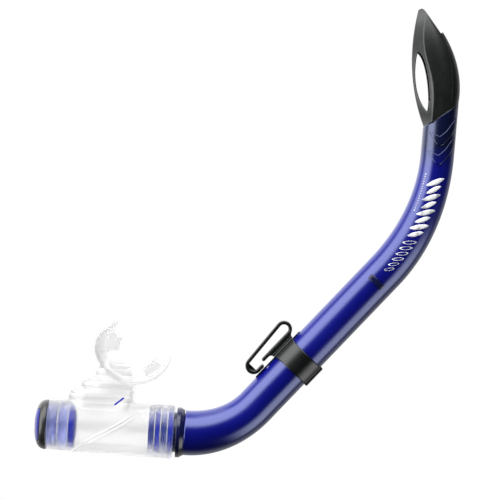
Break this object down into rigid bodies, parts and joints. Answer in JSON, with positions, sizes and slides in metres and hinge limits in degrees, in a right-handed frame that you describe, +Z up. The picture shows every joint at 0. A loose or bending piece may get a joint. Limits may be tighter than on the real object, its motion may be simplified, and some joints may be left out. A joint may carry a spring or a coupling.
{
  "type": "snorkel tube",
  "caption": "Junior J-shaped snorkel: blue tube with a black splash-guard hood, a sliding strap keeper and a swivelling clear silicone mouthpiece with a purge valve.",
  "frame": {"origin": "middle of the keeper's strap slot, with the keeper at its rest place", "axes": "the J lies in the XZ plane; +Z up towards the hood, +X from the purge end towards the tube, -Y the side with the raised stop bar"},
  "size_m": [0.2805, 0.0356, 0.2971],
  "materials": {
    "tube_blue": "glossy translucent blue",
    "spigot_navy": "glossy dark navy",
    "hood_black": "satin black",
    "baffle_black": "matt black",
    "keeper_black": "satin black, slightly flexible",
    "silicone": "clear soft silicone",
    "purge_blue": "glossy translucent blue",
    "bezel_black": "semi-gloss black",
    "valve_silicone": "thin translucent silicone"
  },
  "bodies": {
    "tube_body": {"tube": "tube_blue", "swivel_spigot": "spigot_navy", "hood_front": "hood_black", "hood_cover": "hood_black", "hood_baffle": "baffle_black"},
    "keeper_body": {"keeper": "keeper_black"},
    "mouthpiece_body": {"mouthpiece": "silicone", "purge_housing": "purge_blue", "purge_bezel": "bezel_black", "purge_cover": "purge_blue"},
    "valve_body": {"purge_valve": "valve_silicone"}
  },
  "joints": [
    {"name": "keeper_slide", "type": "slide", "parent": "tube_body", "child": "keeper_body", "axis": [0.6921, 0, 0.7218], "range_m": [-0.02, 0.063]},
    {"name": "mouthpiece_swivel", "type": "hinge", "parent": "tube_body", "child": "mouthpiece_body", "pos_m": [-0.0532, 0, -0.05738], "axis": [-0.9981, 0, 0.061], "continuous": true},
    {"name": "purge_valve_lift", "type": "slide", "parent": "mouthpiece_body", "child": "valve_body", "axis": [-0.9981, 0, 0.061], "range_m": [0, 0.0015], "stiffness_N_per_m": 100}
  ]
}
